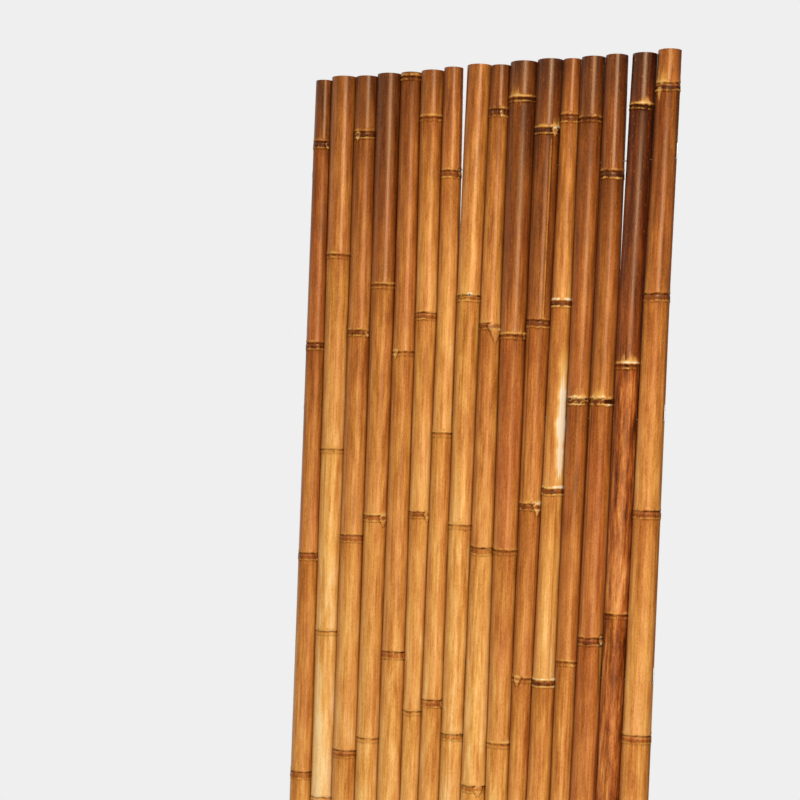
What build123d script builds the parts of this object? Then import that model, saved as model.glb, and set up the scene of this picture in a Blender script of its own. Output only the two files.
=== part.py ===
from build123d import *
import os
from typing import NamedTuple

# Bamboo roll fence, unrolled: sixteen bamboo canes side by side, each drilled across and threaded
# on four galvanised wires, whose ends are bent up against the outer canes.
# Millimetres, +Z up, +X along the wires, front towards -Y, origin at the middle of the foot.


class Cane(NamedTuple):
    """One bamboo cane, measured from its sawn top."""

    top_diameter: float
    foot_diameter: float
    top_trim: float  # how far its top lies under the fence's height
    first_node: float  # from its top down to its first node
    internode: float  # from the first node down to the second
    internode_step: float  # what each internode adds to the one above it


# Driving dimensions
fence_height = 914.0
canes = [
    Cane(18.5, 25.5, 1.5, 66.0, 205.0, 8.0),
    Cane(27.0, 22.0, 0.0, 180.0, 196.0, -13.0),
    Cane(23.5, 26.0, 1.5, 59.0, 198.0, 8.0),
    Cane(25.5, 23.5, 1.0, 210.0, 231.0, -13.0),
    Cane(21.5, 25.5, 1.5, 4.0, 272.0, 26.0),
    Cane(23.5, 17.0, 1.5, 46.0, 195.0, -1.5),
    Cane(19.0, 22.0, 0.0, 104.0, 252.0, 10.0),
    Cane(24.5, 21.5, 0.0, 225.0, 219.0, -16.0),
    Cane(19.0, 26.0, 2.0, 46.0, 204.0, 11.0),
    Cane(27.0, 20.5, 1.0, 35.0, 225.0, -21.0),
    Cane(25.0, 16.0, 1.0, 67.0, 182.0, -10.0),
    Cane(17.0, 24.0, 2.0, 56.0, 173.0, 3.0),
    Cane(22.5, 17.5, 2.0, 57.0, 263.0, -21.0),
    Cane(21.0, 25.0, 2.0, 111.0, 209.0, 12.0),
    Cane(23.0, 20.5, 3.0, 48.0, 237.0, -9.0),
    Cane(21.5, 27.5, 1.5, 34.0, 191.0, 6.0),
]
cane_sides = 12

# Free play between the swellings of two neighbours, and the gaps that fan open towards the top
top_play = 0.25
shoulder_play = 0.6
foot_play = 0.1
open_play = {7: 5.6, 14: 4.4}  # at the fence's top, after the cane of this number
shoulder_height = 690.0  # the canes run side by side below it and fan out above it

# Node rings and hollow ends
node_swell = 0.8
node_rise_below = 6.0
node_rise_above = 4.0
foot_clear = 24.0  # no node lies nearer to the foot
wall = 3.6
septum = 6.0  # thickness of the wall that closes the cane at a node

# Wires and their bent ends
wire_rows = 4
wire_margin = 100.0  # from the fence's foot to its lowest wire, and from its top to its highest
wire_diameter = 1.2
wire_sides = 6
wire_clearance = 0.3  # all round, in the drilled holes and under the bent ends
tail_length = 14.0
tail_stand_off = 1.4  # how far the left corner stands out before the tail leans back
bend_radius = 1.2

# Values worked out from these
wire_radius = wire_diameter / 2
wire_spacing = (fence_height - 2 * wire_margin) / (wire_rows - 1)
wire_heights = [wire_margin + row * wire_spacing for row in range(wire_rows)]


def body_radius(cane, height):
    """The cane's radius between its nodes, which tapers evenly."""
    share = height / fence_height
    return (cane.foot_diameter + (cane.top_diameter - cane.foot_diameter) * share) / 2


def row_of_centres(height, usual_play, wider_play):
    """Where each cane's middle lies along the fence at one height, counted from the first cane."""
    centres = [0.0]
    for number, (left, right) in enumerate(zip(canes, canes[1:]), start=1):
        reach = body_radius(left, height) + body_radius(right, height) + 2 * node_swell
        centres.append(centres[-1] + reach + wider_play.get(number, usual_play))
    return centres


top_centres = row_of_centres(fence_height, top_play, open_play)
shoulder_centres = row_of_centres(shoulder_height, shoulder_play, {})
foot_centres = row_of_centres(0.0, foot_play, {})


def axis_offset(number, height):
    """The cane's middle along the fence at any height, still counted from the first cane."""
    foot, shoulder, top = (row[number - 1] for row in (foot_centres, shoulder_centres, top_centres))
    if height <= shoulder_height:
        return foot + (shoulder - foot) * height / shoulder_height
    share = (height - shoulder_height) / (fence_height - shoulder_height)
    return shoulder + (top - shoulder) * share


def top_of(cane):
    return fence_height - cane.top_trim


def node_heights(cane):
    """The cane's nodes from the top down."""
    heights = []
    height = top_of(cane) - cane.first_node
    internode = cane.internode
    while height > foot_clear:
        heights.append(height)
        height -= internode
        internode += cane.internode_step
    return heights


def stations(cane):
    """Heights and radii of the sections that a cane's outside runs through, from the foot up."""
    top = top_of(cane)
    found = {0.0: body_radius(cane, 0.0), shoulder_height: body_radius(cane, shoulder_height)}
    for node in node_heights(cane):
        low, high = node - node_rise_below, node + node_rise_above
        found = {height: radius for height, radius in found.items() if not low <= height <= high}
        found[low] = body_radius(cane, low)
        found[node] = body_radius(cane, node) + node_swell
        if high < top:
            found[high] = body_radius(cane, high)
    found[top] = body_radius(cane, top)
    return sorted(found.items())


def widest(cane, low, high):
    """The largest radius that the cane has between two heights."""
    radii = [body_radius(cane, low), body_radius(cane, high)]
    for node in node_heights(cane):
        if low - node_rise_above <= node <= high + node_rise_below:
            radii.append(body_radius(cane, node) + node_swell)
    return max(radii)


def tail_corners(number, row_height, side, stand_off):
    """Corner and end of a wire's bent tail, outside the first cane (side -1) or the last (side 1)."""
    end_height = row_height + tail_length
    reach = widest(canes[number - 1], row_height, end_height) + wire_clearance + wire_radius
    corner = axis_offset(number, row_height) + side * (reach + stand_off)
    end = axis_offset(number, end_height) + side * reach
    return (corner, row_height), (end, end_height)


def wire_corners(row_height):
    """A wire's route, from the tip of its left tail to the tip of its right one."""
    left_corner, left_end = tail_corners(1, row_height, -1, tail_stand_off)
    right_corner, right_end = tail_corners(len(canes), row_height, 1, 0.0)
    return [left_end, left_corner, right_corner, right_end]


# The fence's middle: half-way between the outermost points of its canes and wires
first_outline = [axis_offset(1, height) - radius for height, radius in stations(canes[0])]
last_outline = [axis_offset(len(canes), height) + radius for height, radius in stations(canes[-1])]
wire_points = [x for row_height in wire_heights for x, _ in wire_corners(row_height)]
left_edge = min(first_outline + [x - wire_radius for x in wire_points])
right_edge = max(last_outline + [x + wire_radius for x in wire_points])
middle = (left_edge + right_edge) / 2


def section_plane(number, height):
    return Plane((axis_offset(number, height) - middle, 0, height))


os.makedirs("parts", exist_ok=True)

# Canes: swollen at each node, hollow to the first septum at both sawn ends, drilled for the wires
for number, cane in enumerate(canes, start=1):
    nodes = node_heights(cane)
    hollows = [(nodes[0] + septum / 2, top_of(cane)), (0.0, nodes[-1] - septum / 2)]
    hole_reach = max(cane.top_diameter, cane.foot_diameter) / 2 + node_swell + wire_clearance
    with BuildPart() as cane_part:
        for height, radius in stations(cane):
            with BuildSketch(section_plane(number, height)):
                RegularPolygon(radius, cane_sides)
        loft(ruled=True)
        for low, high in hollows:
            if high - low > septum:
                for height in (low, high):
                    with BuildSketch(section_plane(number, height)):
                        RegularPolygon(body_radius(cane, height) - wall, cane_sides)
                loft(ruled=True, mode=Mode.SUBTRACT)
        for row_height in wire_heights:
            with BuildSketch(section_plane(number, row_height).rotated((0, 90, 0))):
                RegularPolygon(wire_radius + wire_clearance, wire_sides)
        extrude(amount=hole_reach, both=True, mode=Mode.SUBTRACT)
    cane_part.part.label = f"cane_{number:02d}"
    export_step(cane_part.part, f"parts/cane_{number:02d}.step")

# Wires, numbered from the foot up: straight through every cane, with both tails bent up
for row, row_height in enumerate(wire_heights, start=1):
    with BuildPart() as wire_part:
        with BuildLine() as route:
            corners = [(x - middle, 0, z) for x, z in wire_corners(row_height)]
            FilletPolyline(*corners, radius=bend_radius)
        with BuildSketch(Plane(route.line @ 0, x_dir=(0, 1, 0), z_dir=route.line % 0)):
            RegularPolygon(wire_radius, wire_sides)
        sweep()
    wire_part.part.label = f"wire_{row}"
    export_step(wire_part.part, f"parts/wire_{row}.step")
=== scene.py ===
import math
from typing import NamedTuple

import bpy
import numpy as np
from mathutils import Matrix, Vector


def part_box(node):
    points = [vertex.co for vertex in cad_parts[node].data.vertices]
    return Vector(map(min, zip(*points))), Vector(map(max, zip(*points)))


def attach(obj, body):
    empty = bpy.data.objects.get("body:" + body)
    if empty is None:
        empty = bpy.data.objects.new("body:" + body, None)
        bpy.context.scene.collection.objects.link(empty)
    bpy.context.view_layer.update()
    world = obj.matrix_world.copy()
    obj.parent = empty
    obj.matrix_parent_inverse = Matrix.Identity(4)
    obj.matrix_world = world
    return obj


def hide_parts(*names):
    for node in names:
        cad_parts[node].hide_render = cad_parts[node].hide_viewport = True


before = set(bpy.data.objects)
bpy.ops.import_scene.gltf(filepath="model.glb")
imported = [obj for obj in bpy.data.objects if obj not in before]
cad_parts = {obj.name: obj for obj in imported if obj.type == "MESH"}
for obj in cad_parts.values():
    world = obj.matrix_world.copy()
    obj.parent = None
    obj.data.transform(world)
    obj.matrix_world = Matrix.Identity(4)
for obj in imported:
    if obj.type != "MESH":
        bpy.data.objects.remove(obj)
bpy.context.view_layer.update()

# Bamboo roll fence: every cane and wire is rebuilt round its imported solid, at the same place and size.
# Lengths are in millimetres, unless a name says otherwise; the scene is in metres.
MM = 0.001
SEED = 20
FULL_TURN = 2 * math.pi

# Camera, as the photograph was taken
IMAGE_SIDE_PX = 800
CAMERA_PLACE_M = (0.7983, -1.4656, 0.5662)
CAMERA_YAW_DEG = 31.061  # turned from +Y towards -X
CAMERA_PITCH_DEG = 0.758
CAMERA_ROLL_DEG = 1.842
FOCAL_PX = 1729.4
SENSOR_MM = 36.0

# Mesh density of a cane: steps between its rings, and how far from a node, hole or end they reach
CANE_SEGMENTS = 64
PLAIN_STEP = 5.0
NODE_STEP, NODE_REACH = 0.5, 8.0
SCAR_STEP, SCAR_REACH = 1.5, 20.0
HOLE_STEP, HOLE_REACH = 0.5, 1.5
END_STEP, END_REACH = 0.6, 1.8
CLOSEST_RINGS = 0.6  # two rings lie at least this share of a step apart
CANE_SHARP_DEG, WIRE_SHARP_DEG = 60, 50  # edges that bend more than this are drawn sharp


class Stain(NamedTuple):
    """How one internode is coloured."""

    tone: float  # 0 nearly black, 1 pale straw
    ruddy: float  # 0 golden, 1 red-brown
    mottle: float  # strength of its cloudy patches


STAINS = {
    "mahogany": Stain(0.29, 1.2, 0.8),
    "walnut": Stain(0.37, 0.4, 0.7),
    "umber": Stain(0.41, 0.5, 0.7),
    "chestnut": Stain(0.46, 0.55, 0.7),
    "rust": Stain(0.50, 0.85, 0.7),
    "cocoa": Stain(0.53, 0.55, 0.7),
    "caramel": Stain(0.58, 0.45, 0.9),
    "toffee": Stain(0.62, 0.4, 0.9),
    "amber": Stain(0.66, 0.35, 0.9),
    "honey": Stain(0.70, 0.25, 1.1),
    "gold": Stain(0.76, 0.15, 1.1),
    "straw": Stain(0.82, 0.1, 0.9),
    "tiger": Stain(0.44, 1.0, 2.2),
}

# The internodes of each cane, from its sawn top down; the last word goes on to the foot
CANE_STAINS = [
    "umber rust cocoa caramel honey",
    "caramel amber gold straw straw",
    "chestnut cocoa caramel amber amber",
    "umber caramel amber gold",
    "chestnut cocoa toffee honey",
    "caramel amber amber amber gold",
    "caramel amber amber honey",
    "amber amber honey gold",
    "chestnut toffee caramel honey gold",
    "walnut umber rust caramel honey",
    "walnut umber cocoa cocoa caramel",
    "cocoa toffee toffee amber caramel",
    "walnut chestnut chestnut caramel",
    "umber chestnut rust rust",
    "mahogany mahogany tiger tiger amber",
    "caramel chestnut caramel toffee toffee",
]

# Shading along and round the canes
FENCE_PAINTED_LIGHT = 0.2  # painted light and shade: how much paler the fence is painted at its foot than at its top
FOOT_SHARE = 0.35  # the part of that which lightens the foot; the rest darkens the top
TOP_FALL = 3  # power of the height by which it darkens
INTERNODE_GLOW = 0.13  # how much paler an internode is at its lower end than at its upper end
MATTE_LENGTH = 70.0  # how far the dull bloom under a node reaches down
EDGE_SHADE = 0.05  # how much darker a cane is where it faces its neighbours
EDGE_PAINTED_SHADOW = 0.4  # painted shade: how much of the dark colour it has there
EDGE_POWER, DULL_POWER = 24, 6  # how narrow those sides are, and the dull strips about them
GRAIN_SHIFT = 1500.0  # between the grains of two canes, so that none is like another

# Form of the canes between their nodes
BODY_GAIN = 0.32  # how much fuller a round cane is than the corners of its many-sided solid
GAIN_FADE = 60.0  # the length under its top over which that fades out
MOST_SWELL = 0.78  # no swelling or scar stands out further than the nodes of the solids
OVAL = 0.05  # a cane is up to twice this slimmer on two opposite sides
HOLE_WIDTH, HOLE_DEPTH = 0.9, 1.6

# Sawn ends: shares of the radius, and depths under the cut
SAWN_EDGE = 0.97  # where the rounded edge of the cut ends
WALL_DIP = 0.05  # the end grain is worn a little in the middle of the wall
HOLLOW_EDGE, HOLLOW_DROP = 0.02, 0.35  # the rounded edge of the hollow
CLOSED_SHARE, CLOSED_DIP, CLOSED_DEPTH = 0.6, 0.1, 0.3  # an end that has no hollow
HOLLOW_SHARES = (0.1, 0.3, 0.6, 0.9, 1.0)  # rings down the hollow, as shares of its depth
SEPTUM_SHARES, SEPTUM_SAG, SEPTUM_MIDDLE = (0.7, 0.35), 1.2, 1.4  # the dished wall that closes it


class NodeStyle(NamedTuple):
    """How the ring of a node looks."""

    groove: float  # height of its dark line over the node, painted shade in its groove
    line: float  # darkness of that line's painted shade
    band: float  # darkness between the line and the sheath's rim
    rim: float  # paleness of the sheath's rim, under the node: its own paler colour, and a painted highlight on its lip
    crown: float  # paleness just over the dark line
    rough: float  # lumps all round


NODE_STYLES = {
    "scar": NodeStyle(2.8, 0.8, 0.5, 0.65, 0.4, 0.6),
    "ridge": NodeStyle(-0.6, 0.7, 0.2, 0.5, 0.58, 0.6),
    "bright": NodeStyle(1.6, 0.7, 0.9, 1.2, 1.6, 0.3),
    "rough": NodeStyle(1.6, 0.7, 0.5, 0.58, 0.52, 1.4),
}

# The nodes of each cane, from its top down; the last word goes on to the foot
CANE_NODES = [
    "scar scar scar scar",
    "ridge ridge ridge scar",
    "scar rough scar scar",
    "ridge rough ridge scar",
    "ridge ridge scar ridge",
    "ridge scar rough ridge",
    "scar ridge scar ridge",
    "rough ridge rough scar",
    "scar rough scar rough",
    "ridge ridge ridge ridge",
    "rough scar rough ridge",
    "scar bright bright bright",
    "ridge rough ridge scar",
    "scar rough scar ridge",
    "ridge ridge ridge scar",
    "scar scar scar scar",
]


class Ring(NamedTuple):
    """A soft ring round a cane, in its relief or in a layer of its colour."""

    over: float  # its middle, over the line that it follows
    width: float
    amount: float

    def at(self, rise):
        return self.amount * bump(rise - self.over, self.width)


# What a node is made of: rings that follow the node itself, its dark line, or the sheath's rim
RIM_DROP = 3.2  # how far the sheath's rim lies under the node
NODE_SWELLING = Ring(0.0, 5.0, 0.35)
LINE_LIP, LINE_GROOVE = Ring(1.7, 1.2, 0.2), Ring(0.0, 0.7, -0.45)
RIM_RIDGE, RIM_GROOVE = Ring(0.0, 0.8, 0.4), Ring(-1.2, 0.7, -0.15)
# painted shade in the groove of the node's line, and painted shadow under the sheath's rim
LINE_SHADE, RIM_SHADOW = Ring(0.0, 0.8, 1.0), Ring(-1.5, 0.7, 0.35)
# the rim's paleness is partly its own colour and partly a painted highlight on its lip
CROWN_PALE, RIM_PALE_AND_HIGHLIGHT = Ring(2.0, 1.5, 1.0), Ring(0.0, 1.0, 1.0)
GLOW_PALE, HANGING_PALE = Ring(0.0, 9.0, 1.0), Ring(0.0, 8.0, 1.0)
BAND_STAIN, BAND_RUDDY, BAND_SOFTNESS = -0.35, 0.4, 0.4
GLOW_START, GLOW_SOFTNESS = 1.0, 1.0
LUMPS = 30  # round a node whose roughness is 1

# How often the parts of a node's random waves repeat round a cane
DRIFT_ORDERS, SHIVER_ORDERS = (1, 2, 3), (6, 9, 13)
RAGGED_ORDERS, BROKEN_ORDERS = (2, 3, 5, 8, 13), (2, 4, 7, 11)
GLOW_ORDERS, HANGING_ORDERS = (1, 2, 3, 5), (1, 2, 4, 6)


class Mark(NamedTuple):
    """A single scar at a node, or on the internode under it."""

    cane: int
    node: int  # counted from the cane's top
    side: float  # where the camera sees it: -1 is the cane's left edge, 1 its right edge
    kind: str
    size: float = 1.0


MARKS = [
    Mark(1, 1, 0.5, "bud", 0.6), Mark(1, 3, 0.7, "bud", 0.7),
    Mark(3, 1, -0.7, "bud", 0.9), Mark(3, 1, -0.7, "flame", 0.4),
    Mark(3, 2, 0.6, "bud", 0.7), Mark(3, 2, 0.85, "strip_up", 0.6),
    Mark(4, 2, 0.55, "bud", 1.1), Mark(4, 2, 0.6, "flame", 0.7),
    Mark(5, 2, -0.8, "bud", 1.0), Mark(5, 3, 0.8, "bud", 0.6),
    Mark(6, 1, 0.0, "flame", 0.4), Mark(6, 3, 0.7, "bud", 1.0),
    Mark(7, 1, 0.8, "stub", 0.8), Mark(7, 3, 0.8, "bud", 0.6),
    Mark(8, 1, 0.0, "roots", 1.0), Mark(8, 1, 0.0, "flame", 0.5), Mark(8, 3, 0.1, "roots", 0.8),
    Mark(9, 1, 0.2, "bud", 0.5), Mark(9, 2, 0.45, "bud", 1.9), Mark(9, 3, 0.0, "roots", 0.6),
    Mark(9, 4, 0.3, "bud", 1.0),
    Mark(10, 1, -0.6, "flame", 0.9), Mark(10, 2, 0.5, "flame", 0.5), Mark(10, 2, 0.75, "bud", 0.6),
    Mark(10, 4, 0.7, "flame", 0.5),
    Mark(11, 1, 0.7, "flame", 1.1), Mark(11, 1, 0.55, "bud", 0.8), Mark(11, 1, 0.3, "groove"),
    Mark(11, 2, -0.85, "groove"), Mark(11, 3, 0.6, "bud", 1.1), Mark(11, 3, 0.8, "flame", 0.8),
    Mark(11, 3, 0.55, "groove"), Mark(11, 4, -0.6, "bud", 1.0),
    Mark(12, 2, 0.5, "peel"), Mark(12, 3, 0.2, "groove"),
    Mark(13, 2, -0.2, "roots", 1.1), Mark(13, 2, 0.0, "flame", 1.1),
    Mark(14, 2, -0.3, "flame", 1.2), Mark(14, 2, 0.55, "notch"), Mark(14, 2, -0.9, "groove"),
    Mark(14, 3, 0.75, "stub", 1.0), Mark(14, 3, 0.8, "strip_down", 1.0),
    Mark(15, 1, 0.2, "flame", 0.7), Mark(15, 2, -0.4, "flame", 0.7), Mark(15, 2, 0.3, "flame", 0.9),
    Mark(16, 1, -0.7, "flame", 1.5), Mark(16, 1, -0.7, "strip_down", 0.3),
]

# Wires
WIRE_BEND = 1.3  # radius of the corners
WIRE_TIP = 1.0  # the part of a tail that shows where its tip lies
WIRE_ROUNDNESS = 4  # the more, the more sides the wire has

# Colours of the bamboo, from dark to pale
GOLDEN = [
    (0.0, "2A1003"), (0.2, "55280B"), (0.4, "884A17"), (0.55, "B06C27"), (0.7, "D3903F"),
    (0.85, "EAB05E"), (1.0, "F7D192"),
]
RUSSET = [
    (0.0, "240A02"), (0.2, "501E08"), (0.4, "864014"), (0.55, "AC5C26"), (0.7, "CA7D3D"),
    (0.85, "DF9E5A"), (1.0, "F0C389"),
]
BARE_WOOD = [(0.08, "B87529"), (0.4, "D89C4A"), (0.62, "E6BA72"), (0.74, "F3E2C2")]
END_GRAIN = [(0.35, "8E6433"), (0.5, "C79A5C"), (0.7, "DDB87C")]
# colour of dark marks and of painted shade
SHADE_AND_DARK_COLOUR = "38190A"
HIGHLIGHT = "FFCD9A"

# Noise in the bamboo: how fine it is in the two directions across a cane, and along it
FIBRES = (1.8, 1.8, 0.03)
STREAKS = (0.45, 0.45, 0.012)
CLOUDS = (0.19, 0.19, 0.026)
SPECKS = (1.2, 1.2, 0.45)
SMOKE = (0.09, 0.09, 0.006)
FLUSH = (0.12, 0.12, 0.012)
FLECKS = (0.7, 0.7, 0.3)
PORES = (2.2, 2.2, 2.2)

# Noise and colours of the wires and the floor
ZINC_SPOTS, ZINC = (900.0, 900.0, 900.0), [(0.3, "AAAAA8"), (0.7, "D2D2CE")]
FLOOR_CLOUDS, FLOOR = (6.0, 6.0, 6.0), [(0.2, "ECECEC"), (0.8, "F1F1F1")]
FLOOR_CLEAR_M, FLOOR_REACH_M = 0.3, 0.62  # where the floor starts to fade, and where it ends
FLOOR_CORNERS = 96


class Lamp(NamedTuple):
    """A rectangular lamp; its place, target and size are in metres."""

    name: str
    place: tuple
    target: tuple
    size: tuple
    watts: float


LAMPS = [
    Lamp("key", (0.82, -1.15, 1.05), (0, 0, 0.6), (0.5, 0.7), 15.5),
    Lamp("low_fill", (0.8, -1.3, 0.25), (0, 0, 0.25), (0.8, 0.5), 6.5),
    Lamp("back", (-0.5, 1.7, 1.2), (0, 0, 0.45), (1.2, 1.2), 14.0),
]
WORLD_STRENGTH = 0.31
BACKDROP = "EFEFEF"

# What the frame says of the fence
NODE_NAMES = sorted(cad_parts)
CANE_NAMES = [name for name in NODE_NAMES if name.startswith("cane")]
WIRE_NAMES = [name for name in NODE_NAMES if name.startswith("wire")]
WIRE_RADIUS = (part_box(WIRE_NAMES[0])[1].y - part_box(WIRE_NAMES[0])[0].y) / MM / 2
WIRE_HEIGHTS = [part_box(name)[0].z / MM + WIRE_RADIUS for name in WIRE_NAMES]


def node_points(name):
    """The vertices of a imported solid."""
    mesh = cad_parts[name].data
    points = np.zeros(len(mesh.vertices) * 3)
    mesh.vertices.foreach_get("co", points)
    return points.reshape(-1, 3) / MM


class Level(NamedTuple):
    """A ring of vertices of a packed cane."""

    height: float
    middle: float
    radius: float
    least: float  # its smallest radius, which is the hollow's at an open end


class CaneForm:
    """What a cane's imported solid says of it: its middle line, radius, nodes and hollow ends."""

    DECIMALS = 3  # vertices that agree so far lie at one level, or at one place
    LEAST_RING = 12  # a level with fewer vertices belongs to a drilled hole
    LEAST_STEP = 1.5  # a hollow's ring is at least this much smaller than the outside
    LEAST_CREST = 0.5  # a node's ring is at least this much larger than the rings beside it

    def __init__(self, name):
        levels = self.find_levels(node_points(name))
        inner, outer = [], []
        for i, level in enumerate(levels):
            beside = [levels[j].radius for j in (i - 1, i + 1) if 0 <= j < len(levels)]
            hollow = len(beside) == 2 and level.radius < min(beside) - self.LEAST_STEP
            (inner if hollow else outer).append(level)
        self.heights = np.array([level.height for level in outer])
        self.middles = np.array([level.middle for level in outer])
        radii = np.array([level.radius for level in outer])
        crests = []
        for i in range(1, len(outer) - 1):
            if radii[i] > max(radii[i - 1], radii[i + 1]) + self.LEAST_CREST:
                crests.append(i)
        plain = [i for i in range(len(outer)) if i not in crests]
        self.nodes = self.heights[crests][::-1]
        self.plain_heights, self.plain_radii = self.heights[plain], radii[plain]
        self.top = float(self.heights[-1])
        self.floors = {}
        for end, level in (("foot", outer[0]), ("top", outer[-1])):
            if inner and level.least < level.radius - self.LEAST_STEP:
                away = [(abs(ring.height - level.height), ring.height) for ring in inner]
                self.floors[end] = min(away)[1]
                self.wall = level.radius - level.least

    def find_levels(self, points):
        """The rings of vertices, from the foot up."""
        heights = np.round(points[:, 2], self.DECIMALS)
        levels = []
        for height in np.unique(heights):
            ring = np.unique(np.round(points[heights == height][:, :2], self.DECIMALS), axis=0)
            if len(ring) >= self.LEAST_RING:
                middle = (ring[:, 0].min() + ring[:, 0].max()) / 2
                reach = np.hypot(ring[:, 0] - middle, ring[:, 1])
                levels.append(Level(height, middle, reach.max(), reach.min()))
        return levels

    def middle(self, heights):
        return np.interp(heights, self.heights, self.middles)

    def radius(self, heights):
        return np.interp(heights, self.plain_heights, self.plain_radii)


def bump(distance, width):
    """1 at no distance, fading out over a width."""
    return np.exp(-((distance / width) ** 2))


def edge(inside, softness):
    """0 well outside an edge, 1 well inside it."""
    return np.clip(0.5 + inside / (2 * softness), 0, 1)


def wave(angle, rng, orders, strength):
    """A smooth random wave round a cane."""
    total = np.zeros_like(angle)
    for order in orders:
        total += rng.normal() * np.cos(order * angle + rng.uniform(0, FULL_TURN))
    return strength * total / math.sqrt(len(orders))


class Skin:
    """A cane's outside as a grid of heights and angles.

    It holds the relief, and the layers that the material reads.
    """

    # 'dark' holds dark marks and painted shade; 'pale' holds pale wood and some painted highlights
    LAYERS = ("stain", "ruddy", "mottle", "matte", "pale", "dark", "sawn")

    def __init__(self, form):
        self.form = form
        self.heights = self.ring_heights()
        angles = np.linspace(0, FULL_TURN, CANE_SEGMENTS, endpoint=False)
        self.z, self.theta = np.meshgrid(self.heights, angles, indexing="ij")
        self.radius = form.radius(self.z)
        self.relief = np.zeros_like(self.z)
        self.layers = {layer: np.zeros_like(self.z) for layer in self.LAYERS}
        camera_x, camera_y = CAMERA_PLACE_M[0] / MM, CAMERA_PLACE_M[1] / MM
        self.seen_from = math.atan2(camera_y, camera_x - form.middles.mean())

    def ring_heights(self):
        """Heights of the rings, close together where the cane's form is fine."""
        top = self.form.top
        fine = [(node, NODE_STEP, NODE_REACH) for node in self.form.nodes]
        fine += [(row, HOLE_STEP, HOLE_REACH) for row in WIRE_HEIGHTS]
        fine += [(end, END_STEP, END_REACH) for end in (0.0, top)]
        fine += [(node, SCAR_STEP, SCAR_REACH) for node in self.form.nodes]
        runs = [np.arange(middle - reach, middle + reach, step) for middle, step, reach in fine]
        runs.append(np.arange(0.0, top, PLAIN_STEP))
        kept = [0.0, top]
        for run in runs:
            taken = np.array(kept)
            step = run[1] - run[0]
            for height in run:
                if 0 < height < top and np.abs(taken - height).min() > CLOSEST_RINGS * step:
                    kept.append(height)
        return np.array(sorted(kept))

    def across(self, side):
        """Distance round the cane from the line that the camera sees at a side of it."""
        return self.round_from(self.seen_from + math.asin(side))

    def round_from(self, angle):
        """Distance round the cane from the line at an angle."""
        return np.angle(np.exp(1j * (self.theta - angle))) * self.radius

    def add(self, layer, amount):
        self.layers[layer] += amount


def stain_cane(skin, words):
    """Each internode has its own stain, paler towards its lower end, and a dull bloom at its upper end."""
    bounds = [skin.form.top, *skin.form.nodes, 0.0]
    sideways = np.abs(np.cos(skin.theta))
    facing = sideways ** EDGE_POWER
    # painted light and shade: paler towards the fence's foot, darker towards its top
    painted_fence_light = FENCE_PAINTED_LIGHT * (FOOT_SHARE - (skin.z / skin.form.top) ** TOP_FALL)
    for place, (high, low) in enumerate(zip(bounds, bounds[1:])):
        stain = STAINS[words[min(place, len(words) - 1)]]
        here = (skin.z <= high) & (skin.z > low) if low > 0 else skin.z <= high
        down = (high - skin.z) / (high - low)
        tone = stain.tone + INTERNODE_GLOW * (down - 0.5) + painted_fence_light
        # painted shade: the stain is darker on the sides that face the neighbouring canes
        skin.layers["stain"][here] = (tone - EDGE_SHADE * facing)[here]
        skin.layers["ruddy"][here] = stain.ruddy
        skin.layers["mottle"][here] = stain.mottle
        if place > 0:
            skin.layers["matte"][here] = np.exp(-(high - skin.z) / MATTE_LENGTH)[here]
    skin.add("matte", sideways ** DULL_POWER)
    # painted shade between the canes, in the dark colour
    skin.add("dark", EDGE_PAINTED_SHADOW * facing)


def draw_node(skin, node, style, rng):
    """The ring of a node: a dark line of painted shade in its groove, a band under it, and the pale rim
    that the leaf sheath left, partly a painted highlight, with painted shadow under it.
    """
    theta, rough = skin.theta, style.rough
    drift = wave(theta, rng, DRIFT_ORDERS, 0.3) + wave(theta, rng, SHIVER_ORDERS, 0.1 + 0.15 * rough)
    over_node = skin.z - node - drift
    over_line = over_node - style.groove
    over_rim = over_node + RIM_DROP
    ragged = np.clip(1 + wave(theta, rng, RAGGED_ORDERS, 0.3 + 0.3 * rough), 0, 1.8)
    broken = np.clip(1 + wave(theta, rng, BROKEN_ORDERS, 0.4), 0.3, 1.5)
    skin.relief += NODE_SWELLING.at(over_node) + ragged * RIM_RIDGE.at(over_rim)
    skin.relief += LINE_LIP.at(over_line) + LINE_GROOVE.at(over_line)
    skin.relief += RIM_GROOVE.at(over_rim)
    band = style.band * edge(-over_line, BAND_SOFTNESS) * edge(over_rim, BAND_SOFTNESS)
    skin.add("stain", BAND_STAIN * band)
    skin.add("ruddy", BAND_RUDDY * band)
    # painted shade in the groove, and painted shadow under the rim
    skin.add("dark", broken * (style.line * LINE_SHADE.at(over_line) + RIM_SHADOW.at(over_rim)))
    # the rim: its own paleness and a painted highlight on its lip
    skin.add("pale", style.rim * ragged * RIM_PALE_AND_HIGHLIGHT.at(over_rim))
    skin.add("pale", style.crown * ragged * CROWN_PALE.at(over_line))
    glow = np.clip(0.4 + wave(theta, rng, GLOW_ORDERS, 0.5), 0, 1) * rng.uniform(0.1, 0.6)
    skin.add("pale", glow * edge(over_line - GLOW_START, GLOW_SOFTNESS) * GLOW_PALE.at(over_line))
    hanging = np.clip(0.3 + wave(theta, rng, HANGING_ORDERS, 0.5), 0, 1) * rng.uniform(0.1, 0.5)
    skin.add("pale", hanging * edge(-over_rim, GLOW_SOFTNESS) * HANGING_PALE.at(over_rim))
    draw_lumps(skin, over_node, int(LUMPS * rough), rng)


def draw_lumps(skin, over_node, count, rng):
    """Small random lumps and pits round a node, some of them pale or with a dark middle."""
    pit_width = 0.8
    for _ in range(count):
        reach = np.hypot(skin.round_from(rng.uniform(0, FULL_TURN)), over_node - rng.normal(-0.5, 2.6))
        lump = bump(reach, rng.uniform(0.8, 1.9))
        skin.relief += rng.uniform(-0.35, 0.3) * lump
        skin.add("pale", rng.uniform(-0.2, 0.6) * lump)
        skin.add("dark", max(0.0, rng.normal(0.0, 0.5)) * bump(reach, pit_width))


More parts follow.
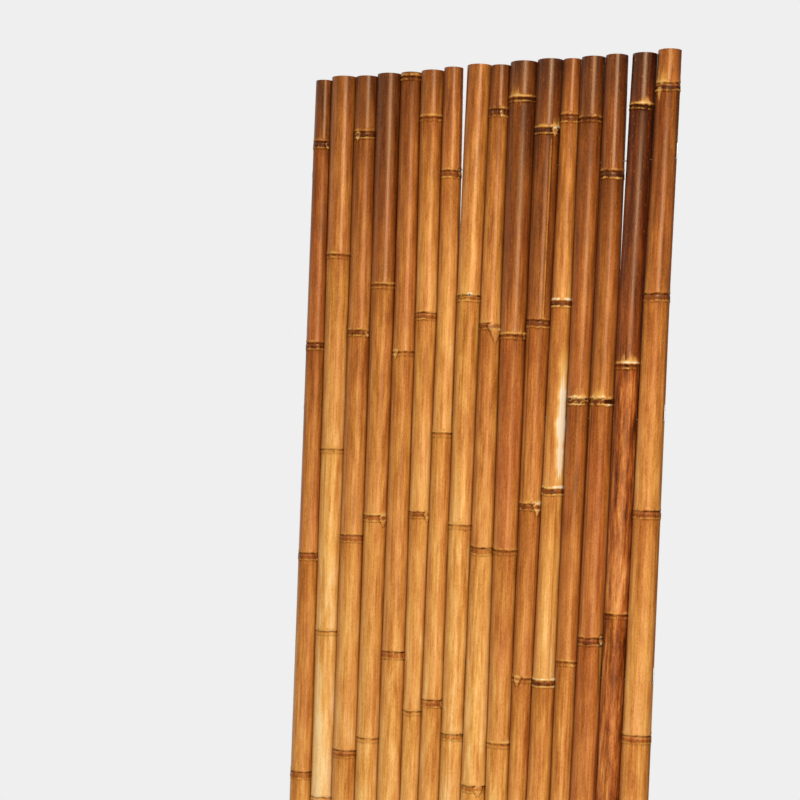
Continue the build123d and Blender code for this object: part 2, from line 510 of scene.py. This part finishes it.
def draw_bud(skin, node, mark, rng):
    """A bud's scar: a raised drop that hangs from the node, with a crease round it darkened by painted
    shade.
    """
    rise, across = skin.z - node, skin.across(mark.side)
    length, half, cap = 9.0 * mark.size, 4.2 * mark.size, 3.0
    softness, crease_width, eye, least_width = 0.6, 0.7, 1.6 * mark.size, 0.1
    hang = np.clip(1 + rise / length, 0, 1)
    arch = np.sqrt(np.clip(1 - (rise / cap) ** 2, 0, 1))
    width = half * np.where(rise > 0, arch, hang)
    within = width - np.abs(across)
    there = width > least_width
    inside = edge(within, softness) * there
    shade_and_dark = bump(within + softness, crease_width) * there
    skin.relief += 0.45 * inside - 0.3 * shade_and_dark
    skin.add("pale", 0.55 * inside - 0.5 * bump(np.hypot(across, rise), eye))
    # painted shade in the crease
    skin.add("dark", 0.75 * shade_and_dark - 0.7 * inside)


def draw_flame(skin, node, mark, rng):
    """Bare pale fibre that licks up from the node."""
    start, softness, most_phase = 1.0, 3.0, 6
    tallest, half, fade = 24 * mark.size, 4.5 * mark.size, 20 * mark.size
    across = skin.across(mark.side)
    fine = np.sin(across * 1.7 + rng.uniform(0, most_phase))
    broad = np.cos(across * 0.9 + rng.uniform(0, most_phase))
    tongues = 0.55 + 0.45 * fine * broad
    height = tallest * tongues * bump(across, half)
    rise = skin.z - node - start
    skin.add("pale", 0.75 * edge(height - rise, softness) * (rise > 0) * bump(rise, fade))


def draw_roots(skin, node, mark, rng):
    """Two rows of cut root stubs round the node: small pits darkened with painted shade, with pale rims."""
    stubs, rows, rim_width = 24, 2, 0.7
    for turn in np.linspace(0, rows * FULL_TURN, stubs, endpoint=False):
        angle, rise = turn + rng.normal(0, 0.15), mark.size * rng.normal(-0.4, 2.2)
        reach = np.hypot(skin.round_from(angle), skin.z - node - rise)
        size = mark.size * rng.uniform(0.9, 1.5)
        skin.relief += 0.35 * bump(reach, 1.6 * size) - 0.7 * bump(reach, 0.7 * size)
        skin.add("pale", 0.5 * bump(reach - 1.1 * size, rim_width))
        # painted shade in the pit
        skin.add("dark", 0.9 * bump(reach, 0.75 * size))


def draw_strip(skin, node, mark, direction):
    """A long pale strip, torn off with a branch, that runs from the node up (1) or down (-1), with a
    painted shadow along one edge.
    """
    length, half, softness = 50 * mark.size, 2.2, 0.7
    crease_offset, crease_width = 0.5, 0.7
    along = direction * (skin.z - node)
    share = np.clip(along / length, 0, 1)
    width = half * (1 - share ** 2)
    across = skin.across(mark.side)
    there = (along > 0) * (share < 1)
    strip = edge(width - np.abs(across), softness) * there
    shade_and_dark = bump(across + width + crease_offset, crease_width) * there
    skin.relief -= 0.3 * strip
    skin.add("pale", 0.85 * strip)
    # painted shadow along one edge of the strip
    skin.add("dark", 0.4 * shade_and_dark)


def draw_strip_up(skin, node, mark, rng):
    draw_strip(skin, node, mark, 1)


def draw_strip_down(skin, node, mark, rng):
    draw_strip(skin, node, mark, -1)


def draw_groove(skin, node, mark, rng):
    """A fine bright line down the internode under the node, a painted highlight along a shallow groove,
    with a dark one beside it, a painted shadow.
    """
    margin, softness = 6, 3.0  # the line starts and ends so far from the nodes
    line_width, depth_width, shadow_offset = 0.8, 0.9, 1.6
    lower = [height for height in skin.form.nodes if height < node]
    floor = max(lower, default=0.0)
    here = edge(node - margin - skin.z, softness) * edge(skin.z - floor - margin, softness)
    across = skin.across(mark.side)
    skin.relief -= 0.25 * here * bump(across, depth_width)
    # painted highlight along the groove
    skin.add("pale", 0.8 * here * bump(across, line_width))
    # painted shadow beside the groove
    skin.add("dark", 0.45 * here * bump(across - shadow_offset, line_width))


def draw_peel(skin, node, mark, rng):
    """A long patch under the node where the skin has peeled off and the wood has bleached."""
    start, end = 52, 168  # how far under the node it starts and ends
    half, start_softness, end_softness, side_softness = 5.0, 28.0, 10.0, 2.5
    waves = ((1.6, 11.0), (1.2, 4.7), (0.8, 2.1))  # strength and length of those along its edges
    along = np.minimum(
        edge(node - start - skin.z, start_softness), edge(skin.z - node + end, end_softness)
    )
    ragged = sum(strength * np.sin(skin.z / length) for strength, length in waves)
    across = skin.across(mark.side)
    patch = along * edge(half - np.abs(across) + 0.6 * ragged, side_softness)
    streaks = 0.95 + 0.17 * np.sin(2.6 * across + skin.z / 23.0)
    skin.add("pale", 2.1 * patch * streaks)
    skin.relief -= 0.2 * patch


def draw_notch(skin, node, mark, rng):
    """A slot where a branch was trimmed off, darkened with painted shade, with a pale lip under it."""
    half, side_softness = 4.5, 0.8
    slot_half, slot_drop, slot_softness = 1.5, 0.4, 0.5
    lip_drop, lip_width = 3.0, 0.8
    wide = edge(half - np.abs(skin.across(mark.side)), side_softness)
    rise = skin.z - node
    slot = wide * edge(slot_half - np.abs(rise + slot_drop), slot_softness)
    skin.relief -= 0.7 * slot
    # painted shade in the slot
    skin.add("dark", slot)
    skin.add("pale", wide * bump(rise + lip_drop, lip_width) - 0.8 * slot)


def draw_stub(skin, node, mark, rng):
    """What is left of a trimmed branch: a low knob with a pale cut face and a dark ring of painted shade
    round its foot.
    """
    centre_rise, squash = 1.5, 0.7
    knob, knob_softness = 3.2, 1.2
    face, face_softness = 2.4, 0.6
    ring, line_width = 3.6, 0.7
    reach = np.hypot(skin.across(mark.side), squash * (skin.z - node - centre_rise)) / mark.size
    skin.relief += 0.9 * mark.size * edge(knob - reach, knob_softness)
    skin.add("pale", 0.9 * edge(face - reach, face_softness))
    # a ring of painted shade round the knob's foot, and a dark middle
    skin.add("dark", 0.8 * bump(reach - ring, line_width) + 0.5 * bump(reach, line_width))


# Each of these takes the skin, the node's height, the mark and the cane's random numbers
DRAW_MARK = {
    "bud": draw_bud, "flame": draw_flame, "roots": draw_roots, "strip_up": draw_strip_up,
    "strip_down": draw_strip_down, "groove": draw_groove, "peel": draw_peel, "notch": draw_notch,
    "stub": draw_stub,
}


def drill_holes(skin):
    """The wires' holes, where each cane faces its neighbours, darkened inside with painted shade."""
    for row in WIRE_HEIGHTS:
        for side in (0.0, math.pi):
            hole = bump(np.hypot(skin.round_from(side), skin.z - row), HOLE_WIDTH)
            skin.relief -= HOLE_DEPTH * hole
            # painted shade inside the hole
            skin.add("dark", hole)


def end_rings(form, end, rim):
    """Rings from a sawn edge over the end grain and down the hollow, and the middle of its floor."""
    sign, level = (1, form.top) if end == "top" else (-1, 0.0)
    middle = np.array([form.middle(level), 0.0, level])
    hollow = end in form.floors
    if hollow:
        inner = 1 - form.wall / form.radius(level)
        wall_middle = (1 + inner) / 2
        face = [
            (SAWN_EDGE, 0.0), (wall_middle, WALL_DIP), (inner + HOLLOW_EDGE, 0.0), (inner, HOLLOW_DROP)
        ]
        floor = form.floors[end]
    else:
        face = [(SAWN_EDGE, 0.0), (CLOSED_SHARE, CLOSED_DIP)]
        floor = level - sign * CLOSED_DEPTH
    rings = []
    for share, drop in face:
        ring = middle + (rim - middle) * share
        ring[:, 2] = level - sign * drop
        rings.append(ring)
    if hollow:
        inside = rings[-1] - middle
        for share in HOLLOW_SHARES:
            at = level + (floor - level) * share
            rings.append(inside * (1, 1, 0) + (form.middle(at), 0.0, at))
    last = rings[-1]
    centre = np.array([*last[:, :2].mean(0), floor])
    for share in SEPTUM_SHARES:
        ring = centre + (last - centre) * share
        ring[:, 2] = floor - sign * SEPTUM_SAG * (1 - share)
        rings.append(ring)
    return rings, centre - (0, 0, sign * SEPTUM_MIDDLE)


def draw_cane(skin, index, rng):
    """A cane's stains, nodes, scars and holes."""
    form = skin.form
    stain_cane(skin, CANE_STAINS[index].split())
    styles = CANE_NODES[index].split()
    for place, node in enumerate(form.nodes):
        draw_node(skin, node, NODE_STYLES[styles[min(place, len(styles) - 1)]], rng)
    for mark in MARKS:
        if mark.cane == index + 1:
            DRAW_MARK[mark.kind](skin, form.nodes[mark.node - 1], mark, rng)
    drill_holes(skin)


def tube_faces(count):
    """Faces between a number of rings, and fans to the two centres that follow the rings."""
    around = CANE_SEGMENTS
    near = np.arange(around)
    far = (near + 1) % around
    faces = []
    for start in range(0, (count - 1) * around, around):
        quads = [start + near, start + far, start + around + far, start + around + near]
        faces += np.stack(quads, -1).tolist()
    last = (count - 1) * around
    faces += np.stack([np.full(around, count * around), far, near], -1).tolist()
    faces += np.stack([np.full(around, count * around + 1), last + near, last + far], -1).tolist()
    return faces


def build_cane(name, index):
    """The cane's mesh, with the layers that its material reads stored at each vertex."""
    form = CaneForm(name)
    skin = Skin(form)
    rng = np.random.default_rng(SEED + index)
    draw_cane(skin, index, rng)

    oval = OVAL * (1 + np.cos(2 * (skin.theta - rng.uniform(0, math.pi))))
    gain = BODY_GAIN * np.clip((form.top - skin.z) / GAIN_FADE, 0, 1)
    radius = skin.radius + np.minimum(gain - oval + skin.relief, MOST_SWELL)
    x, y = form.middle(skin.z) + radius * np.cos(skin.theta), radius * np.sin(skin.theta)
    outside = list(np.stack([x, y, skin.z], -1))
    foot_rings, foot_centre = end_rings(form, "foot", outside[0])
    top_rings, top_centre = end_rings(form, "top", outside[-1])
    rings = foot_rings[::-1] + outside + top_rings
    centres = [foot_centre, top_centre]
    points = np.concatenate([*rings, centres])
    mesh = bpy.data.meshes.new(name + "_round")
    mesh.from_pydata((points * MM).tolist(), [], tube_faces(len(rings)))
    mesh.shade_smooth()
    mesh.set_sharp_from_angle(angle=math.radians(CANE_SHARP_DEG))

    before = len(foot_rings) * CANE_SEGMENTS
    after = len(top_rings) * CANE_SEGMENTS + len(centres)
    for layer in Skin.LAYERS:
        end_value = 1.0 if layer == "sawn" else 0.0
        values = np.pad(skin.layers[layer].ravel(), (before, after), constant_values=end_value)
        store(mesh, layer, "FLOAT", "value", values)
    grain = points + (0, 0, GRAIN_SHIFT * index)
    grain[:, 0] -= form.middle(points[:, 2])
    store(mesh, "grain", "FLOAT_VECTOR", "vector", grain)
    return place_piece(name, mesh)


def store(mesh, layer, kind, key, values):
    """Stores a layer at the vertices of a mesh."""
    mesh.attributes.new(layer, kind, "POINT").data.foreach_set(key, values.astype(np.float32).ravel())


def place_piece(name, mesh):
    """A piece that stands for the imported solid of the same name."""
    piece = bpy.data.objects.new(name + "_round", mesh)
    bpy.context.scene.collection.objects.link(piece)
    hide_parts(name)
    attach(piece, "root")
    return piece


def wire_route(name):
    """A wire's route in x and z, from the tip of its left tail to the tip of its right one."""
    points = node_points(name)
    low, high = points.min(0), points.max(0)
    row = low[2] + WIRE_RADIUS
    tips = points[points[:, 2] > high[2] - WIRE_TIP][:, 0]
    cut = 0.25 * WIRE_BEND  # how far the middle of a bend lies inside its corner, each way
    straight_up, straight_in = 3 * WIRE_BEND, 4 * WIRE_BEND  # straight stretches beside a corner
    route = []
    for sign, corner in ((-1, low[0] + WIRE_RADIUS), (1, high[0] - WIRE_RADIUS)):
        tip = tips[np.sign(tips) == sign]
        side = [
            ((tip.min() + tip.max()) / 2, high[2]),
            (corner, row + straight_up),
            (corner, row + WIRE_BEND),
            (corner - sign * cut, row + cut),
            (corner - sign * WIRE_BEND, row),
            (corner - sign * straight_in, row),
        ]
        route += side if sign < 0 else side[::-1]
    return route


def build_wire(name):
    """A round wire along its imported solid's run, with both tails bent up."""
    route = wire_route(name)
    curve = bpy.data.curves.new(name + "_route", "CURVE")
    curve.dimensions = "3D"
    curve.bevel_depth = WIRE_RADIUS * MM
    curve.bevel_resolution = WIRE_ROUNDNESS
    curve.use_fill_caps = True
    spline = curve.splines.new("POLY")
    spline.points.add(len(route) - 1)
    for point, (x, z) in zip(spline.points, route):
        point.co = (x * MM, 0.0, z * MM, 1.0)
    guide = bpy.data.objects.new(name + "_route", curve)
    mesh = bpy.data.meshes.new_from_object(guide)
    bpy.data.objects.remove(guide)
    mesh.shade_smooth()
    mesh.set_sharp_from_angle(angle=math.radians(WIRE_SHARP_DEG))
    return place_piece(name, mesh)


def srgb(code):
    """Linear colour of a hex code."""
    parts = [int(code[i : i + 2], 16) / 255 for i in (0, 2, 4)]
    return tuple(c / 12.92 if c <= 0.04045 else ((c + 0.055) / 1.055) ** 2.4 for c in parts)


class Shading:
    """A material's node tree, and short ways to add to it."""

    MIX_FIRST, MIX_SECOND, MIX_RESULT = 6, 7, 2  # the colour sockets of a Mix node

    def __init__(self, name):
        self.material = bpy.data.materials.new(name)
        self.material.use_nodes = True
        self.tree = self.material.node_tree
        self.shader = self.tree.nodes["Principled BSDF"]

    def put(self, value, socket):
        """Links an output to a socket, or sets a plain value on it."""
        if isinstance(value, bpy.types.NodeSocket):
            self.tree.links.new(value, socket)
        elif isinstance(value, tuple) and socket.type == "RGBA":
            socket.default_value = (*value, 1.0)
        else:
            socket.default_value = value

    def shade(self, value, name):
        """Puts a value on one of the shader's own sockets."""
        self.put(value, self.shader.inputs[name])

    def node(self, kind, **settings):
        node = self.tree.nodes.new(kind)
        for key, value in settings.items():
            setattr(node, key, value)
        return node

    def calc(self, operation, first, second, clamp=False):
        node = self.node("ShaderNodeMath", operation=operation, use_clamp=clamp)
        self.put(first, node.inputs[0])
        self.put(second, node.inputs[1])
        return node.outputs[0]

    def total(self, start, *terms):
        """A start value plus each (value, strength) pair."""
        for value, strength in terms:
            start = self.calc("ADD", start, self.calc("MULTIPLY", value, strength))
        return start

    def over(self, value, threshold, strength):
        """How far a value passes a threshold, times a strength, from 0 to 1."""
        return self.calc("MULTIPLY", self.calc("SUBTRACT", value, threshold), strength, clamp=True)

    def layer(self, name, output="Fac"):
        return self.node("ShaderNodeAttribute", attribute_name=name).outputs[output]

    def place(self):
        """Where a point lies on its own object."""
        return self.node("ShaderNodeTexCoord").outputs["Object"]

    def noise(self, vector, scale, detail=3.0, roughness=0.55):
        """Noise about zero over a vector that is stretched by a scale."""
        stretch = self.node("ShaderNodeVectorMath", operation="MULTIPLY")
        self.put(vector, stretch.inputs[0])
        self.put(scale, stretch.inputs[1])
        texture = self.node("ShaderNodeTexNoise")
        self.put(stretch.outputs[0], texture.inputs["Vector"])
        self.put(1.0, texture.inputs["Scale"])
        self.put(detail, texture.inputs["Detail"])
        self.put(roughness, texture.inputs["Roughness"])
        return self.calc("SUBTRACT", texture.outputs["Fac"], 0.5)

    def ramp(self, value, stops):
        node = self.node("ShaderNodeValToRGB")
        elements = node.color_ramp.elements
        while len(elements) < len(stops):
            elements.new(0.5)
        for element, (place, code) in zip(elements, stops):
            element.position = place
            element.color = (*srgb(code), 1.0)
        self.put(value, node.inputs["Fac"])
        return node.outputs["Color"]

    def noise_ramp(self, noise, stops):
        """A ramp over noise about zero, which it moves to lie about a half."""
        return self.ramp(self.calc("ADD", noise, 0.5), stops)

    def mix(self, factor, first, second):
        """The first colour at a factor of 0 or less, the second one at 1 or more."""
        node = self.node("ShaderNodeMix", data_type="RGBA")
        self.put(factor, node.inputs["Factor"])
        self.put(first, node.inputs[self.MIX_FIRST])
        self.put(second, node.inputs[self.MIX_SECOND])
        return node.outputs[self.MIX_RESULT]


def bamboo_material():
    """Carbonised bamboo: stain, fibres and patches, with bare pale wood and a few painted highlights, then
    dark marks and painted shade, laid over them.
    """
    mat = Shading("carbonised_bamboo")
    pale, dark, matte, sawn = (mat.layer(name) for name in ("pale", "dark", "matte", "sawn"))
    grain = mat.layer("grain", "Vector")
    fibres = mat.noise(grain, FIBRES, 4.0)
    streaks = mat.noise(grain, STREAKS, 2.0)
    clouds = mat.noise(grain, CLOUDS, 4.0, 0.64)
    specks = mat.noise(grain, SPECKS, 2.0)
    smoke = mat.noise(grain, SMOKE, 2.0)
    flush = mat.noise(grain, FLUSH, 2.0)
    flecks = mat.noise(grain, FLECKS, 1.0)
    pores = mat.noise(grain, PORES, 2.0)

    mottled = mat.calc("MULTIPLY", clouds, mat.layer("mottle"))
    # the stain layer carries painted light and shade down the fence, and painted shade between the canes
    tone = mat.total(
        mat.layer("stain"), (fibres, 0.26), (streaks, 0.3), (smoke, 0.3), (mottled, 0.65), (specks, 0.36)
    )
    ruddy = mat.total(mat.layer("ruddy"), (flush, 2.0))
    stained = mat.mix(ruddy, mat.ramp(tone, GOLDEN), mat.ramp(tone, RUSSET))

    # pale holds bare pale wood, and painted highlights on node rims and grooves
    ragged = mat.total(pale, (fibres, 1.2), (specks, 0.8), (clouds, 0.9))
    scratched = mat.calc("MULTIPLY", mat.over(flecks, 0.17, 9.0), 0.6)
    bare = mat.calc("MAXIMUM", mat.over(ragged, 0.28, 1.5), scratched)
    wood = mat.ramp(mat.calc("MULTIPLY", pale, 0.4), BARE_WOOD)
    worn = mat.mix(mat.calc("MULTIPLY", bare, 0.8), stained, wood)
    # dark marks, and painted shade in grooves, pits, holes and between the canes
    shade_and_dark = mat.calc("MULTIPLY", mat.total(dark, (specks, 0.5)), 0.85)
    shaded_and_darkened = mat.mix(shade_and_dark, worn, srgb(SHADE_AND_DARK_COLOUR))
    mat.shade(mat.mix(sawn, shaded_and_darkened, mat.noise_ramp(pores, END_GRAIN)), "Base Color")

    rough = mat.total(0.27, (matte, 0.18), (streaks, 0.35), (bare, 0.2), (sawn, 0.45))
    mat.shade(rough, "Roughness")
    mat.shade(srgb(HIGHLIGHT), "Specular Tint")
    gloss = mat.total(0.47, (dark, -1.0), (matte, -0.22))
    mat.shade(mat.calc("MAXIMUM", gloss, 0.02), "Specular IOR Level")
    relief = mat.node("ShaderNodeBump")
    mat.put(0.15, relief.inputs["Strength"])
    mat.put(0.0006, relief.inputs["Distance"])
    mat.put(mat.total(fibres, (specks, 0.5)), relief.inputs["Height"])
    mat.shade(relief.outputs["Normal"], "Normal")
    return mat.material


def wire_material():
    """Galvanised steel, a little cloudy."""
    mat = Shading("galvanised_steel")
    spots = mat.noise(mat.place(), ZINC_SPOTS)
    mat.shade(mat.noise_ramp(spots, ZINC), "Base Color")
    mat.shade(mat.total(0.4, (spots, 0.3)), "Roughness")
    mat.shade(1.0, "Metallic")
    return mat.material


def floor_material():
    """Pale and matt, and clearer and clearer towards the floor's edge."""
    mat = Shading("pale_floor")
    place = mat.place()
    mat.shade(mat.noise_ramp(mat.noise(place, FLOOR_CLOUDS, 2.0), FLOOR), "Base Color")
    mat.shade(0.9, "Roughness")
    length = mat.node("ShaderNodeVectorMath", operation="LENGTH")
    mat.put(place, length.inputs[0])
    cover = mat.node("ShaderNodeMapRange", interpolation_type="SMOOTHSTEP")
    mat.put(length.outputs["Value"], cover.inputs["Value"])
    mat.put(FLOOR_CLEAR_M, cover.inputs["From Min"])
    mat.put(FLOOR_REACH_M, cover.inputs["From Max"])
    mat.put(1.0, cover.inputs["To Min"])
    mat.put(0.0, cover.inputs["To Max"])
    mat.shade(cover.outputs["Result"], "Alpha")
    return mat.material


def add_floor():
    """A pale round floor that fades out towards its edge."""
    turns = np.linspace(0, FULL_TURN, FLOOR_CORNERS, endpoint=False)
    points = [(FLOOR_REACH_M * math.cos(turn), FLOOR_REACH_M * math.sin(turn), 0.0) for turn in turns]
    mesh = bpy.data.meshes.new("floor")
    mesh.from_pydata(points, [], [list(range(FLOOR_CORNERS))])
    floor = bpy.data.objects.new("floor", mesh)
    bpy.context.scene.collection.objects.link(floor)
    mesh.materials.append(floor_material())


def add_world():
    """Soft white light from all round, and a pale grey that cameras and reflections see instead."""
    world = bpy.data.worlds.new("studio")
    bpy.context.scene.world = world
    world.use_nodes = True
    nodes, links = world.node_tree.nodes, world.node_tree.links
    light = nodes["Background"]
    light.inputs["Color"].default_value = (1.0, 1.0, 1.0, 1.0)
    light.inputs["Strength"].default_value = WORLD_STRENGTH
    backdrop = nodes.new("ShaderNodeBackground")
    backdrop.inputs["Color"].default_value = (*srgb(BACKDROP), 1.0)
    path = nodes.new("ShaderNodeLightPath")
    seen = path.outputs["Is Camera Ray"]
    for ray in ("Is Glossy Ray", "Is Transmission Ray"):
        either = nodes.new("ShaderNodeMath")
        either.operation = "MAXIMUM"
        links.new(seen, either.inputs[0])
        links.new(path.outputs[ray], either.inputs[1])
        seen = either.outputs[0]
    switch = nodes.new("ShaderNodeMixShader")
    links.new(seen, switch.inputs["Fac"])
    links.new(light.outputs[0], switch.inputs[1])
    links.new(backdrop.outputs[0], switch.inputs[2])
    links.new(switch.outputs[0], nodes["World Output"].inputs["Surface"])


def add_lamp(lamp):
    data = bpy.data.lights.new(lamp.name, "AREA")
    data.shape = "RECTANGLE"
    data.size, data.size_y = lamp.size
    data.energy = lamp.watts
    light = bpy.data.objects.new(lamp.name, data)
    light.location = lamp.place
    aim = Vector(lamp.target) - Vector(lamp.place)
    light.rotation_euler = aim.to_track_quat("-Z", "Y").to_euler()
    bpy.context.scene.collection.objects.link(light)


def add_camera():
    lens = bpy.data.cameras.new("camera")
    lens.sensor_width = SENSOR_MM
    lens.lens = FOCAL_PX / IMAGE_SIDE_PX * SENSOR_MM
    camera = bpy.data.objects.new("camera", lens)
    turn = Matrix.Rotation(math.radians(CAMERA_YAW_DEG), 4, "Z")
    tilt = Matrix.Rotation(math.radians(90 + CAMERA_PITCH_DEG), 4, "X")
    roll = Matrix.Rotation(math.radians(CAMERA_ROLL_DEG), 4, "Z")
    camera.matrix_world = Matrix.Translation(CAMERA_PLACE_M) @ turn @ tilt @ roll
    bpy.context.scene.collection.objects.link(camera)
    bpy.context.scene.camera = camera


bamboo = bamboo_material()
steel = wire_material()
for index, cane_name in enumerate(CANE_NAMES):
    build_cane(cane_name, index).data.materials.append(bamboo)
for wire_name in WIRE_NAMES:
    build_wire(wire_name).data.materials.append(steel)
add_floor()
add_world()
for lamp in LAMPS:
    add_lamp(lamp)
add_camera()
bpy.context.scene.view_settings.view_transform = "Standard"
